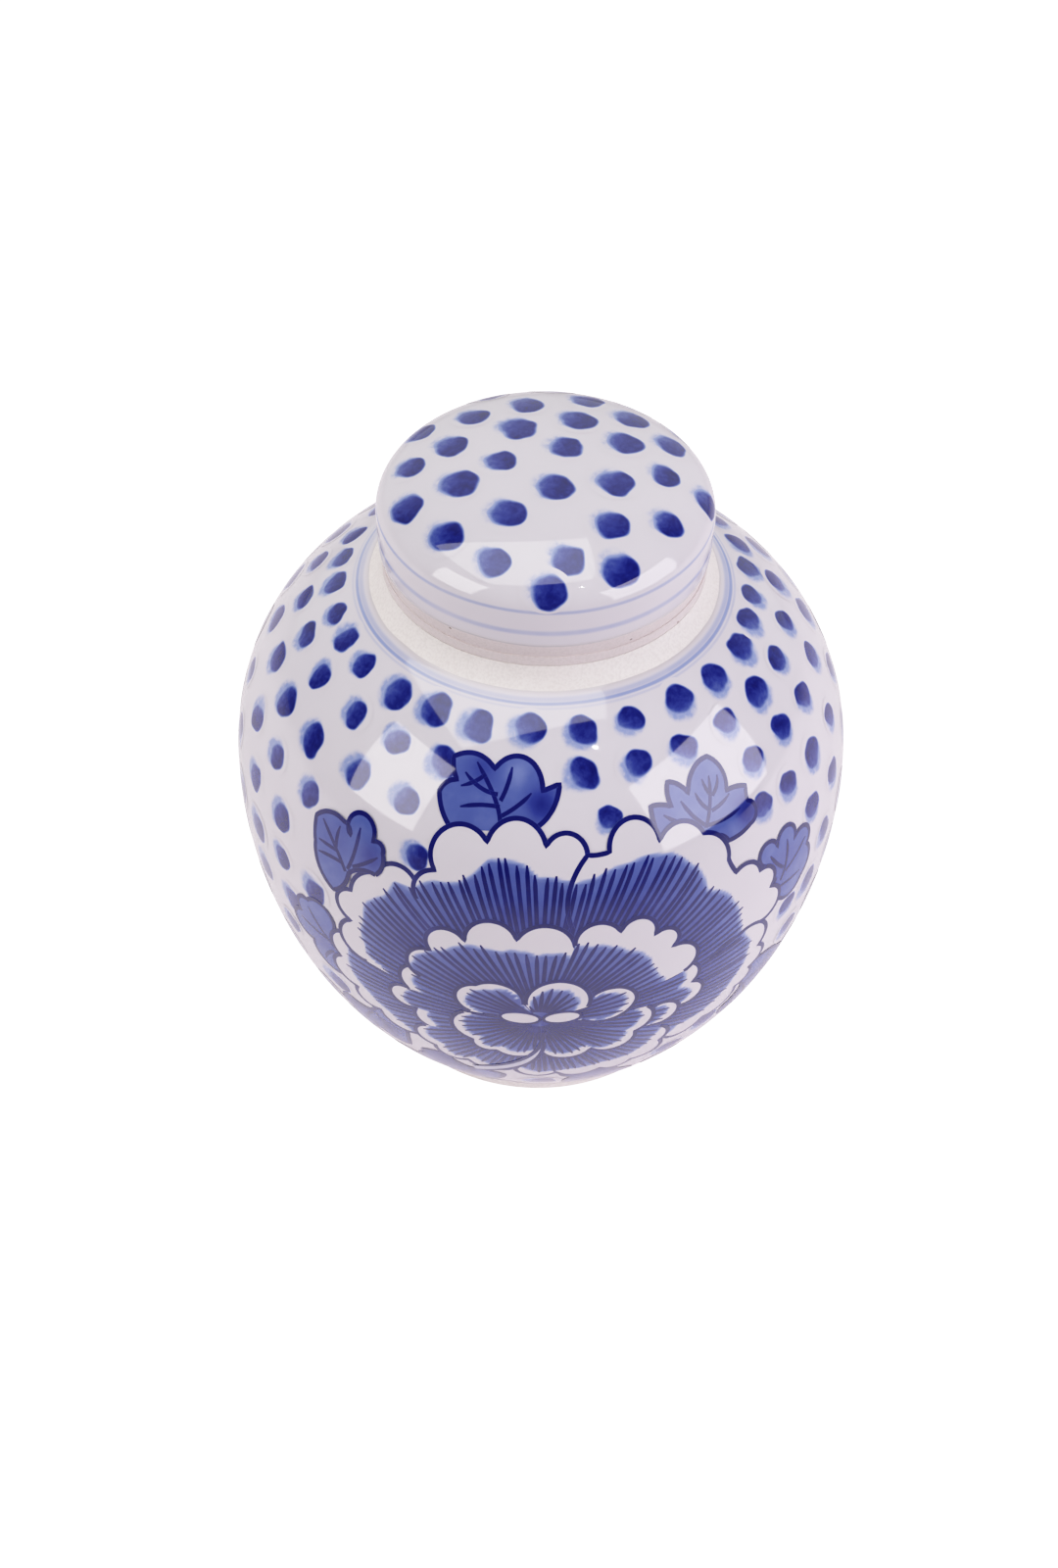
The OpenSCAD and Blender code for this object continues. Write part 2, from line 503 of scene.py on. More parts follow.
def brushed_line():
    """Cobalt of one thin line drawn round a turning piece: it wanders, thins and fades a little."""
    group, given, out = new_group(
        "brushed line",
        [
            ("Place", "NodeSocketVector", None),
            ("Along", "NodeSocketFloat", 0.0),
            ("Middle", "NodeSocketFloat", 0.0),
            ("Width", "NodeSocketFloat", 1.0),
            ("Strength", "NodeSocketFloat", 0.4),
        ],
        [("Cobalt", "NodeSocketFloat")],
    )
    wander = reckon(group, "MULTIPLY_ADD", cloud(group, given["Place"], 28.0, 1.0), 0.8, -0.4)
    away = reckon(group, "SUBTRACT", reckon(group, "ADD", given["Along"], wander), given["Middle"])
    away = reckon(group, "ABSOLUTE", away)
    thin = reckon(group, "MULTIPLY_ADD", cloud(group, given["Place"], 45.0, 2.0), 0.7, 0.65)
    half = reckon(group, "MULTIPLY", reckon(group, "MULTIPLY", given["Width"], 0.5), thin)
    line = fade(group, away, half, reckon(group, "MULTIPLY", half, 0.15), 0.0, 1.0)
    load = reckon(group, "MULTIPLY_ADD", cloud(group, given["Place"], 18.0, 2.0), 1.2, 0.4)
    load = reckon(group, "MULTIPLY", load, given["Strength"])
    group.links.new(reckon(group, "MULTIPLY", line, load), out.inputs["Cobalt"])
    return group


ground_group = porcelain_ground()
cobalt_group = cobalt_under_glaze()
line_group = brushed_line()


def porcelain(name, cobalt_of, has_edges=False, biscuit=BISCUIT):
    """Glazed porcelain material. cobalt_of(tree, place) gives how much cobalt lies under the glaze."""
    material = bpy.data.materials.new(name)
    material.use_nodes = True
    tree = material.node_tree
    shader = tree.nodes["Principled BSDF"]
    place = put(tree, "ShaderNodeTexCoord").outputs["Object"]
    ground = put(tree, "ShaderNodeGroup", {
        "Place": place, "Biscuit": shade(biscuit),
    }, node_tree=ground_group)
    if has_edges:
        edge = put(tree, "ShaderNodeAttribute", attribute_name="glaze_edge")
        tree.links.new(edge.outputs["Fac"], ground.inputs["Glaze Edge"])
    paint = put(tree, "ShaderNodeGroup", {
        "Place": place, "Ground": ground.outputs["Colour"], "Cobalt": cobalt_of(tree, place),
    }, node_tree=cobalt_group)
    relief = put(tree, "ShaderNodeBump", {
        "Strength": 1.0, "Distance": MM, "Height": ground.outputs["Height"],
    })
    tree.links.new(paint.outputs["Colour"], shader.inputs["Base Color"])
    tree.links.new(ground.outputs["Roughness"], shader.inputs["Roughness"])
    tree.links.new(relief.outputs["Normal"], shader.inputs["Normal"])
    shader.inputs["IOR"].default_value = GLAZE_IOR
    return material


def ring_lines(lines):
    """Cobalt of lines drawn round a turned piece: (distance along its wall, width, strength)."""

    def cobalt_of(tree, place):
        along = put(tree, "ShaderNodeAttribute", attribute_name="along_wall").outputs["Fac"]
        total = None
        for middle, width, strength in lines:
            cobalt = put(tree, "ShaderNodeGroup", {
                "Place": place, "Along": along, "Middle": middle, "Width": width, "Strength": strength,
            }, node_tree=line_group).outputs["Cobalt"]
            total = cobalt if total is None else reckon(tree, "MAXIMUM", total, cobalt)
        return total

    return cobalt_of


ring_cove = cove()
jar_mesh, jar_line, jar_arc = turned("jar_body_porcelain", [
    ([(0.0, FOOT_H), (12.0, FOOT_H), (25.0, FOOT_H), (FOOT_IN_R, FOOT_H)], True),
    ([(FOOT_IN_R, FOOT_IN_GLAZE_Z)], True),
    (round_edge(FOOT_IN_R + EDGE_R, EDGE_R, EDGE_R, 180, 270), False),
    (round_edge(FOOT_R - EDGE_R, EDGE_R, EDGE_R, 270, 360), False),
    ([(FOOT_R, FOOT_GLAZE_Z), (FOOT_R, FOOT_H)], True),
    (evenly(lower_body(0.0, FOOT_H), LOWER_STEP), True),
    (evenly(shoulder(0.0, RING_R), SHOULDER_STEP), True),
    (ring_cove[1:], False),
    ([(NECK_R, SEAT_Z), (NECK_R, SEAT_Z + NECK_LOWER_H)], False),
    (round_edge(NECK_R - EDGE_R, NECK_TOP - EDGE_R, EDGE_R, 0, 90), False),
    (round_edge(MOUTH_R + EDGE_R, NECK_TOP - EDGE_R, EDGE_R, 90, 180), False),
    (evenly(shoulder(WALL, MOUTH_R), INSIDE_UPPER_STEP)[::-1], True),
    (evenly(lower_body(WALL, FLOOR_Z), INSIDE_LOWER_STEP)[::-1], True),
    ([(20.0, FLOOR_Z), (8.0, FLOOR_Z), (0.0, FLOOR_Z)], True),
])
RING_AT = float(jar_arc[np.argmin(np.hypot(jar_line[:, 0] - RING_R, jar_line[:, 1] - RING_Z))])
jar = stand("jar_body_porcelain", jar_mesh)
jar_mesh.materials.append(porcelain("jar porcelain", ring_lines([
    (RING_AT - 1.3, 2.6, 0.13),
    (RING_AT - 2.4, 1.7, 0.21),
    (RING_AT - 3.6, 1.3, 0.10),
]), has_edges=True))
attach(jar, "jar_body")
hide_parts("jar")

# ---- Lid ------------------------------------------------------------------------------------
# A turned cap with a shallow dome. The glaze stops above the rim, which is left bare where it
# stands on the jar's seat, and two thin lines ring its side.

LID_R = 42.4
LID_WALL = 3.8
LID_SIDE_H = 16.1
DOME_RISE = 14.4
DOME_POWER = 2.4
SIDE_LEAN = 0.5
GLAZE_H = 7.0
RIM_BAND_H = 2.9
UNDERCUT = 0.3
RIM_IN_R = 37.3
RIM_EDGE_R = 0.4
RIM_BAND_MIDDLE = 1.6
BARE_STEP = 0.8
SIDE_STEP = 1.0
DOME_STEP = 0.8
HOLLOW_STEP = 1.4
SKIRT_STEP = 2.0
# The lid's bare body is painted darker than the jar's: painted shade for the rim under the lid's edge.
LID_BISCUIT_PAINTED_SHADE = (228, 217, 216)

dome = full_curve(LID_R, DOME_RISE, DOME_POWER, 0.0, 90.0) + (0.0, SEAT_Z + LID_SIDE_H)
hollow = full_curve(LID_R - LID_WALL, DOME_RISE - LID_WALL, DOME_POWER, 0.0, 90.0)
hollow = hollow + (0.0, SEAT_Z + LID_SIDE_H)
glaze_line = (LID_R - SIDE_LEAN, SEAT_Z + GLAZE_H)
side = [glaze_line, (LID_R, SEAT_Z + LID_SIDE_H)]
lid_mesh, lid_line, lid_arc = turned("lid_porcelain", [
    ([(RIM_IN_R, SEAT_Z)], False),
    (round_edge(RIM_R - RIM_EDGE_R, SEAT_Z + RIM_EDGE_R, RIM_EDGE_R, 270, 360), False),
    ([(RIM_R, SEAT_Z + RIM_BAND_MIDDLE), (RIM_R, SEAT_Z + RIM_BAND_H)], False),
    (evenly([(RIM_R - UNDERCUT, SEAT_Z + RIM_BAND_H), glaze_line], BARE_STEP)[:-1], False),
    (evenly(side, SIDE_STEP), True),
    (evenly(dome, DOME_STEP), True),
    (evenly(hollow, HOLLOW_STEP)[::-1], True),
    (evenly([(LID_R - LID_WALL, SEAT_Z + LID_SIDE_H), (RIM_IN_R, SEAT_Z)], SKIRT_STEP), True),
])
APEX_AT = float(lid_arc[np.argmax(lid_line[:, 1])])
lid = stand("lid_porcelain", lid_mesh)
lid_mesh.materials.append(porcelain("lid porcelain", ring_lines([
    (APEX_AT - 46.5, 1.7, 0.16),
    (APEX_AT - 53.1, 2.9, 0.15),
]), has_edges=True, biscuit=LID_BISCUIT_PAINTED_SHADE))
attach(lid, "lid_body")
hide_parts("lid")

# ---- Dabs -----------------------------------------------------------------------------------
# Single touches of a loaded brush, in loose rows round the jar and over the lid. Each has a dark
# drop with a crisp edge where the brush was pressed and a watery edge where it was lifted.

DAB_ACROSS = 11.6
DAB_HIGH = 10.8
DAB_LIFT = 0.036
LEVEL_LIFT = 0.36
DAB_TWIST = 24.0
SMALLEST_DAB = 0.86
LARGEST_DAB = 1.10
DAB_BEND = 3.2
SEED_SPREAD = 97.0
GOLDEN_SHARE = 0.618034
WALL_STEP = 0.25
LID_MIDDLE_DROP = 10.0


class Wall:
    """The outer face of a turned piece, by the distance along it from its upper end.

    Middle is a height on the axis from which every point of the wall is seen in a different direction.
    """

    def __init__(self, points, middle):
        self.line = evenly(points, WALL_STEP)
        self.arc = arc_along(self.line)
        run = np.gradient(self.line, self.arc, axis=0)
        run /= np.hypot(run[:, 0], run[:, 1])[:, None]
        self.run = run
        self.faces = np.stack([-run[:, 1], run[:, 0]], axis=1)
        self.middle = middle
        self.lean = np.arctan2(self.line[:, 1] - middle, self.line[:, 0])

    def read(self, table, arc):
        return np.stack([np.interp(arc, self.arc, column) for column in table.T], axis=-1)

    def place(self, turn, arc, lift):
        """Points at these angles from the front, distances along the wall and heights above it, in mm."""
        at = self.read(self.line, arc) + self.read(self.faces, arc) * np.asarray(lift)[..., None]
        return np.stack([at[..., 0] * np.sin(turn), -at[..., 0] * np.cos(turn), at[..., 1]], axis=-1)

    def normals(self, points):
        """Direction that the wall faces at each of these points, in mm."""
        radius = np.hypot(points[:, 0], points[:, 1])
        lean = np.arctan2(points[:, 2] - self.middle, radius)
        order = np.argsort(self.lean)
        across = np.interp(lean, self.lean[order], self.faces[order, 0])
        up = np.interp(lean, self.lean[order], self.faces[order, 1])
        radius = np.maximum(radius, 1e-6)
        found = np.stack([points[:, 0] / radius * across, points[:, 1] / radius * across, up], axis=1)
        return found / np.linalg.norm(found, axis=1)[:, None]


jar_face = np.concatenate([shoulder(0.0, RING_R)[::-1], lower_body(0.0, FOOT_H)[::-1][1:]])
jar_wall = Wall(jar_face, evenly(jar_face, WALL_STEP)[:, 1].mean())
lid_wall = Wall(np.concatenate([dome[::-1], [glaze_line]]), glaze_line[1] - LID_MIDDLE_DROP)


def follow_wall(mesh, wall):
    """Shades a painted patch exactly as the wall under it."""
    points = np.array([vertex.co for vertex in mesh.vertices]) / MM
    mesh.shade_smooth()
    mesh.normals_split_custom_set_from_vertices([tuple(n) for n in wall.normals(points)])


def reckon_vector(tree, operation, a, b):
    """Result of one Vector Math node."""
    return put(tree, "ShaderNodeVectorMath", {0: a, 1: b}, operation=operation).outputs[0]


def dab_shape(core, water, wetness):
    """Cobalt of one dab: a dark drop on a watery one, each a little out of shape. Half-axes in mm."""

    def cobalt_of(tree, place):
        spot = put(tree, "ShaderNodeAttribute", attribute_name="dab_place").outputs["Vector"]
        seed = put(tree, "ShaderNodeAttribute", attribute_name="dab_seed").outputs["Fac"]
        shift = reckon(tree, "MULTIPLY", seed, SEED_SPREAD)

        def own_noise(scale, detail):
            inputs = {"Vector": spot, "Scale": scale, "Detail": detail, "W": shift}
            return put(tree, "ShaderNodeTexNoise", inputs, noise_dimensions="4D")

        bend = reckon_vector(tree, "SUBTRACT", own_noise(0.16, 1.0).outputs["Color"], (0.5, 0.5, 0.5))
        bend = put(tree, "ShaderNodeVectorMath", {0: bend, "Scale": DAB_BEND}, operation="SCALE")
        spot = reckon_vector(tree, "ADD", spot, bend.outputs[0])

        def reach(middle, half):
            """Distance from the middle of an oval, where 1 is its edge."""
            moved = reckon_vector(tree, "SUBTRACT", spot, (middle, 0.0, 0.0))
            scaled = reckon_vector(tree, "DIVIDE", moved, (*half, 1e6))
            return put(tree, "ShaderNodeVectorMath", {0: scaled}, operation="LENGTH").outputs["Value"]

        side = put(tree, "ShaderNodeSeparateXYZ", {"Vector": spot}).outputs["X"]
        streak = own_noise(0.75, 3.0).outputs["Fac"]
        softness = fade(tree, side, -2.5, 2.0, 0.50, 0.16)
        drop = fade(tree, reach(0.35, core), 1.06, reckon(tree, "SUBTRACT", 1.0, softness))
        depth = fade(tree, side, -3.4, 1.8, 0.54, 0.88)
        depth = reckon(tree, "ADD", depth, reckon(tree, "MULTIPLY_ADD", streak, 0.44, -0.22))
        drop = reckon(tree, "MULTIPLY", drop, depth)
        shore = fade(tree, reach(-0.35, water), 1.10, 0.55)
        shore = reckon(tree, "MULTIPLY", shore, reckon(tree, "MULTIPLY_ADD", streak, 0.42, wetness))
        return reckon(tree, "MAXIMUM", drop, shore)

    return cobalt_of


def dab_tree():
    """Geometry Nodes that lay a small curved patch on the wall at each point."""
    tree = bpy.data.node_groups.new("brush dabs", "GeometryNodeTree")
    for label, kind in (
        ("Dabs", "NodeSocketGeometry"),
        ("Piece", "NodeSocketObject"),
        ("Across", "NodeSocketFloat"),
        ("High", "NodeSocketFloat"),
        ("Lift", "NodeSocketFloat"),
        ("Size", "NodeSocketFloat"),
        ("Fineness", "NodeSocketInt"),
        ("Turn Spread", "NodeSocketFloat"),
        ("Cobalt", "NodeSocketMaterial"),
    ):
        tree.interface.new_socket(label, in_out="INPUT", socket_type=kind)
    tree.interface.new_socket("Patches", in_out="OUTPUT", socket_type="NodeSocketGeometry")
    given = tree.nodes.new("NodeGroupInput").outputs
    out = tree.nodes.new("NodeGroupOutput")
    piece = put(tree, "GeometryNodeObjectInfo", {"Object": given["Piece"]}).outputs["Geometry"]
    normal = put(tree, "GeometryNodeInputNormal").outputs[0]
    position = put(tree, "GeometryNodeInputPosition").outputs[0]

    def wall_normal():
        return put(tree, "GeometryNodeSampleNearestSurface", {
            "Mesh": piece, "Value": normal, "Sample Position": position,
        }, data_type="FLOAT_VECTOR").outputs["Value"]

    # A square grid is rounded into a disc, and keeps its own places in mm for the paint.
    grid = put(tree, "GeometryNodeMeshGrid", {
        "Size X": 2.0, "Size Y": 2.0, "Vertices X": given["Fineness"], "Vertices Y": given["Fineness"],
    })
    parts = put(tree, "ShaderNodeSeparateXYZ", {0: position}).outputs

    def rounded(along, other, width):
        square = reckon(tree, "MULTIPLY", other, other)
        squeeze = reckon(tree, "SQRT", reckon(tree, "MULTIPLY_ADD", square, -0.5, 1.0))
        half = reckon(tree, "MULTIPLY", width, 0.5)
        return reckon(tree, "MULTIPLY", reckon(tree, "MULTIPLY", along, squeeze), half)

    disc = put(tree, "ShaderNodeCombineXYZ", {
        0: rounded(parts[0], parts[1], given["Across"]), 1: rounded(parts[1], parts[0], given["High"]),
    })
    patch = put(tree, "GeometryNodeSetPosition", {
        "Geometry": grid.outputs["Mesh"], "Position": disc.outputs[0],
    })
    in_mm = put(tree, "ShaderNodeVectorMath", {0: position, "Scale": 1.0 / MM}, operation="SCALE")
    patch = put(tree, "GeometryNodeStoreNamedAttribute", {
        "Geometry": patch.outputs[0], "Name": "dab_place", "Value": in_mm.outputs[0],
    }, data_type="FLOAT_VECTOR", domain="POINT")

    # Each point gets a disc that lies on the wall with its dark side turned the painter's way.
    dark_side = put(tree, "GeometryNodeInputNamedAttribute", {"Name": "dark_side"}, data_type="FLOAT_VECTOR")
    lie = put(tree, "FunctionNodeAxesToRotation", {
        0: wall_normal(), 1: dark_side.outputs[0],
    }, primary_axis="Z", secondary_axis="X")
    spread = put(tree, "FunctionNodeRandomValue", {
        2: reckon(tree, "MULTIPLY", given["Turn Spread"], -1.0), 3: given["Turn Spread"], "Seed": 5,
    }, data_type="FLOAT")
    twist = put(tree, "FunctionNodeAxisAngleToRotation", {
        "Axis": (0.0, 0.0, 1.0), "Angle": spread.outputs[1],
    })
    lie = put(tree, "FunctionNodeRotateRotation", {
        0: lie.outputs[0], 1: twist.outputs[0],
    }, rotation_space="LOCAL")
    size = put(tree, "FunctionNodeRandomValue", {
        2: SMALLEST_DAB, 3: LARGEST_DAB, "Seed": 11,
    }, data_type="FLOAT")
    laid = put(tree, "GeometryNodeInstanceOnPoints", {
        "Points": given["Dabs"], "Instance": patch.outputs[0], "Rotation": lie.outputs[0],
        "Scale": reckon(tree, "MULTIPLY", size.outputs[1], given["Size"]),
    })
    order = put(tree, "GeometryNodeInputIndex").outputs[0]
    seeded = put(tree, "GeometryNodeStoreNamedAttribute", {
        "Geometry": laid.outputs[0], "Name": "dab_seed",
        "Value": reckon(tree, "FRACT", reckon(tree, "MULTIPLY", order, GOLDEN_SHARE)),
    }, data_type="FLOAT", domain="INSTANCE")
    real = put(tree, "GeometryNodeRealizeInstances", {0: seeded.outputs[0]})

    # The flat discs are pressed on to the wall, and lifted off it by their own level.
    near = put(tree, "GeometryNodeProximity", {0: piece}, target_element="FACES")
    level = put(tree, "GeometryNodeInputNamedAttribute", {"Name": "level"}, data_type="FLOAT").outputs[0]
    lift = reckon(tree, "MULTIPLY", given["Lift"], reckon(tree, "MULTIPLY_ADD", level, LEVEL_LIFT, 1.0))
    raised = put(tree, "ShaderNodeVectorMath", {0: wall_normal(), "Scale": lift}, operation="SCALE")
    above = reckon_vector(tree, "ADD", near.outputs["Position"], raised.outputs[0])
    pressed = put(tree, "GeometryNodeSetPosition", {"Geometry": real.outputs[0], "Position": above})
    painted = put(tree, "GeometryNodeSetMaterial", {
        "Geometry": pressed.outputs[0], "Material": given["Cobalt"],
    })
    tree.links.new(painted.outputs[0], out.inputs[0])
    return tree


dab_nodes = dab_tree()
jar_dab_paint = porcelain("jar dab cobalt", dab_shape((3.95, 4.05), (5.0, 4.8), 0.03))
lid_dab_paint = porcelain("lid dab cobalt", dab_shape((4.5, 4.0), (5.1, 4.6), -0.06))


def lay_dabs(name, piece, wall, points, dark_sides, levels, size, fineness, paint, body):
    """Puts a dab on a piece at each of these points, in mm, as one plain mesh."""
    seeds = bpy.data.meshes.new(name + "_points")
    seeds.from_pydata([tuple(point * MM) for point in points], [], [])
    towards = np.array(dark_sides, dtype=np.float32).ravel()
    seeds.attributes.new("dark_side", "FLOAT_VECTOR", "POINT").data.foreach_set("vector", towards)
    give_values(seeds, "level", levels)
    holder = stand(name + "_points", seeds)
    modifier = holder.modifiers.new("dabs", "NODES")
    modifier.node_group = dab_nodes
    values = {
        "Piece": piece,
        "Across": DAB_ACROSS * MM,
        "High": DAB_HIGH * MM,
        "Lift": DAB_LIFT * MM,
        "Size": size,
        "Fineness": fineness,
        "Turn Spread": math.radians(DAB_TWIST),
        "Cobalt": paint,
    }
    for item in dab_nodes.interface.items_tree:
        if item.in_out == "INPUT" and item.name in values:
            modifier[item.identifier] = values[item.name]
    bpy.context.view_layer.update()
    evaluated = holder.evaluated_get(bpy.context.evaluated_depsgraph_get())
    mesh = bpy.data.meshes.new_from_object(evaluated)
    mesh.name = name
    holder.modifiers.clear()
    bpy.data.objects.remove(holder)
    follow_wall(mesh, wall)
    dabs = stand(name, mesh)
    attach(dabs, body)


# Rows of dabs: distance below the bare ring, then how far round from the front each one stands,
# measured on the widest circle. A gap is left where the flower and its leaves stand.
DAB_ROWS = [
    (10.0, [-95, -79, -58, -42, -24, -5, 14, 33, 55, 74, 94]),
    (20.5, [-90, -68, -49, -32, 13, 31, 48, 67, 85, 103]),
    (32.0, [-95, -77, -57, -40, 20, 69, 85, 101]),
    (45.0, [-104, -87, -70, -33, 66.5, 78, 92, 109]),
    (58.0, [-95, -78, 86, 101]),
    (71.0, [-106, -91, -77, -63.5, 93, 110]),
    (84.0, [-89, -74, 75, 86, 102]),
    (97.0, [-97, -78, 80, 96]),
    (109.0, [-104, -84, -63, 88, 105]),
    (121.0, [-93, -71, 55, 77, 98]),
    (132.0, [-100, -62, 45, 88, 110]),
    (143.0, [-86, -46, 2, 48, 72, 97]),
    (154.0, [-100, -70, -36, -12, 22, 56, 84, 112]),
]

# Past its own dabs a row is filled with others about this far apart, and then the whole row is
# repeated on the other half of the jar. The dark side of a dab turns upwards from left to right.
DAB_GAP = 17.5
GAP_PLAY = 1.2
ROW_PLAY = 0.7
HALF_TURN = math.pi * BODY_R
FRONT_TILT = 25.0
TILT_PER_MM = 0.65
LEAST_TILT = -20.0
MOST_TILT = 72.0
JAR_DAB_SIZE = 1.03
JAR_DAB_FINENESS = 8

pick = random.Random(7)
dab_points = []
dab_sides = []
dab_levels = []
for row, (down, rounds) in enumerate(DAB_ROWS):
    spare = rounds[0] + HALF_TURN - rounds[-1]
    extra = max(0, int(round(spare / DAB_GAP)) - 1)
    filled = list(rounds)
    for k in range(extra):
        filled.append(rounds[-1] + spare * (k + 1) / (extra + 1) + pick.uniform(-GAP_PLAY, GAP_PLAY))
    for half in (0.0, HALF_TURN):
        for place_in_row, around in enumerate(filled):
            arc = down + pick.uniform(-ROW_PLAY, ROW_PLAY)
            turn = (around + half) / BODY_R
            place = jar_wall.place(np.array(turn), np.array(arc), np.array(0.0))
            run = jar_wall.read(jar_wall.run, arc)
            right = np.array([math.cos(turn), math.sin(turn), 0.0])
            up = -np.array([run[0] * math.sin(turn), -run[0] * math.cos(turn), run[1]])
            tilt = math.radians(min(MOST_TILT, max(LEAST_TILT, FRONT_TILT + TILT_PER_MM * around)))
            dab_points.append(place)
            dab_sides.append(right * math.cos(tilt) + up * math.sin(tilt))
            dab_levels.append(2 * (row % 2) + place_in_row % 2)
lay_dabs("jar_dabs", jar, jar_wall, dab_points, dab_sides, dab_levels, JAR_DAB_SIZE, JAR_DAB_FINENESS,
         jar_dab_paint, "jar_body")

# Dabs on the lid: right of and behind the middle of the dome, measured over its surface.
LID_DABS = [
    (4, 7), (-12, 0.5), (2, -9), (-22.5, -7), (16.5, -6), (-10, -18.5), (15.5, -20.5), (29, 0),
    (19, 10.5), (7.5, 19), (-8, 15), (-24.5, 9), (-35, 3), (-35.5, -12), (-25, -24), (-13, -33),
    (5, -32), (18, -33.5), (30, -17), (0.5, -41), (31, 14), (20.5, 23.5), (9.5, 31), (-5.5, 27),
    (-19.5, 22), (-33, 19), (41, -4), (35, 26), (-16, 37), (1, 41), (23, 35),
]
LID_DAB_TILT = math.radians(-27.0)
LID_DAB_SIZE = 1.12
LID_DAB_FINENESS = 16
LID_LEVELS = 5
LID_LEVEL_STEP = 0.75

lid_points = []
for right, back in LID_DABS:
    turn = math.atan2(right, -back)
    lid_points.append(lid_wall.place(np.array(turn), np.array(math.hypot(right, back)), np.array(0.0)))
lid_sides = [(math.cos(LID_DAB_TILT), math.sin(LID_DAB_TILT), 0.0)] * len(LID_DABS)
lid_levels = [index % LID_LEVELS * LID_LEVEL_STEP for index in range(len(LID_DABS))]
lay_dabs("lid_dabs", lid, lid_wall, lid_points, lid_sides, lid_levels, LID_DAB_SIZE, LID_DAB_FINENESS,
         lid_dab_paint, "lid_body")

# ---- Peony ----------------------------------------------------------------------------------
# The large open flower on each face: three rings of scalloped petals round a small eye. Each
# petal is outlined, washed with thin cobalt short of its rim, and shaded with fine ray lines.
# Places are (round from the front, down from the bare ring), in mm on the widest circle.

ROOT = (1.0, 95.0)
MESH_GAP = 0.90
BORDER_GAP = MESH_GAP * 0.45
FIRST_LAYER = 0.078
LAYER_GAP = 0.005
OUTLINE_HALF = 0.56
RAY_HALF = 0.47
RAY_GAP = 2.4
STROKE_STEP = 1.0
SCALLOP_STEP = 0.7
RAY_REACH_PLAY = (-0.9, 1.3)
RAY_BEND = 0.012
RAY_GAP_PLAY = 0.25
LEAST_RAY = 2.0
LEAST_REACH = 6.0
WASH_SHORE = 1.6
WASH_DEEPENS = 16.0
BLEED = 0.10
CORE_INSET = 0.03
LEAST_CORE = 0.05
OUTLINE_FRINGE = 0.62
FINE_FRINGE = 0.75
FINE_TAPER = 2.5
TAPER_TIP = 0.12
TAPER_POWER = 0.6


class Painting:
    """Thin patches of cobalt laid on the jar, collected into one mesh."""

    def __init__(self):
        self.points = []
        self.lifts = []
        self.cobalt = []
        self.faces = []
        self.layer = FIRST_LAYER

    def add(self, points, cobalt, faces):
        start = len(self.points)
        self.points.extend(points)
        self.cobalt.extend(cobalt)
        self.lifts.extend([self.layer] * len(points))
        for face in faces:
            turning = 0.0
            for here, there in zip(face, (*face[1:], face[0])):
                turning += points[here][0] * points[there][1] - points[there][0] * points[here][1]
            ordered = face if turning < 0.0 else tuple(reversed(face))
            self.faces.append(tuple(start + index for index in ordered))

    def next_layer(self):
        self.layer += LAYER_GAP

    def patch(self, border, cobalt_at):
        """Fills a closed border, with cobalt from cobalt_at(points)."""
        border = np.asarray(border, float)
        low = border.min(axis=0)
        high = border.max(axis=0)
        columns = np.arange(low[0], high[0], MESH_GAP)
        rows = np.arange(low[1], high[1], MESH_GAP)
        across, down = np.meshgrid(columns, rows)
        spots = np.stack([across.ravel(), down.ravel()], axis=1)
        spots = spots[inside(border, spots)]
        apart = np.min(np.hypot(*(spots[:, None, :] - border[None, :, :]).transpose(2, 0, 1)), axis=1)
        spots = spots[apart > BORDER_GAP]
        given = [Vector(point) for point in np.concatenate([border, spots])]
        made = delaunay_2d_cdt(given, [], [list(range(len(border)))], 1, 1e-5)
        points = np.array([tuple(point) for point in made[0]])
        self.add([tuple(p) for p in points], list(cobalt_at(points)), [tuple(f) for f in made[2]])
        self.next_layer()

    def stroke(self, line, half, end_taper=0.0, fringe=OUTLINE_FRINGE):
        """Brush line of this half-width with a paler fringe, drawn to a point over its last length."""
        line = np.asarray(line, float)
        stretch = jar_wall.read(jar_wall.line, line[:, 1])[:, 0] / BODY_R
        real = np.stack([line[:, 0] * stretch, line[:, 1]], axis=1)
        arc = arc_along(real)
        run = np.gradient(real, axis=0)
        run /= np.maximum(np.hypot(run[:, 0], run[:, 1]), 1e-9)[:, None]
        width = np.full(len(line), half)
        if end_taper:
            width *= np.clip((arc[-1] - arc) / end_taper, TAPER_TIP, 1.0) ** TAPER_POWER
        points = []
        cobalt = []
        for place, direction, wide, squeeze in zip(line, run, width, stretch):
            core = max(LEAST_CORE, wide - CORE_INSET)
            edge = wide + BLEED
            for side, dark in ((-edge, fringe), (-core, 1.0), (core, 1.0), (edge, fringe)):
                points.append((place[0] - direction[1] * side / squeeze, place[1] + direction[0] * side))
                cobalt.append(dark)
        faces = []
        for k in range(len(line) - 1):
            for lane in range(3):
                a = 4 * k + lane
                faces.append((a, a + 1, a + 5, a + 4))
        self.add(points, cobalt, faces)

    def finish(self, name, turn, material):
        """Lays the painting on the jar, turned round it by this angle."""
        points = np.array(self.points)
        placed = jar_wall.place(points[:, 0] / BODY_R + turn, points[:, 1], np.array(self.lifts))
        mesh = bpy.data.meshes.new(name)
        mesh.from_pydata([tuple(p * MM) for p in placed], [], self.faces)
        give_values(mesh, "cobalt", self.cobalt)
        mesh.materials.append(material)
        follow_wall(mesh, jar_wall)
        painted = stand(name, mesh)
        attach(painted, "jar_body")


def inside(border, spots):
    """True for each spot inside a closed border."""
    held = np.zeros(len(spots), bool)
    for (x0, y0), (x1, y1) in zip(border, np.roll(border, -1, axis=0)):
        crosses = (y0 > spots[:, 1]) != (y1 > spots[:, 1])
        slope = (x1 - x0) / (y1 - y0) if y1 != y0 else 0.0
        held ^= crosses & (spots[:, 0] < x0 + (spots[:, 1] - y0) * slope)
    return held


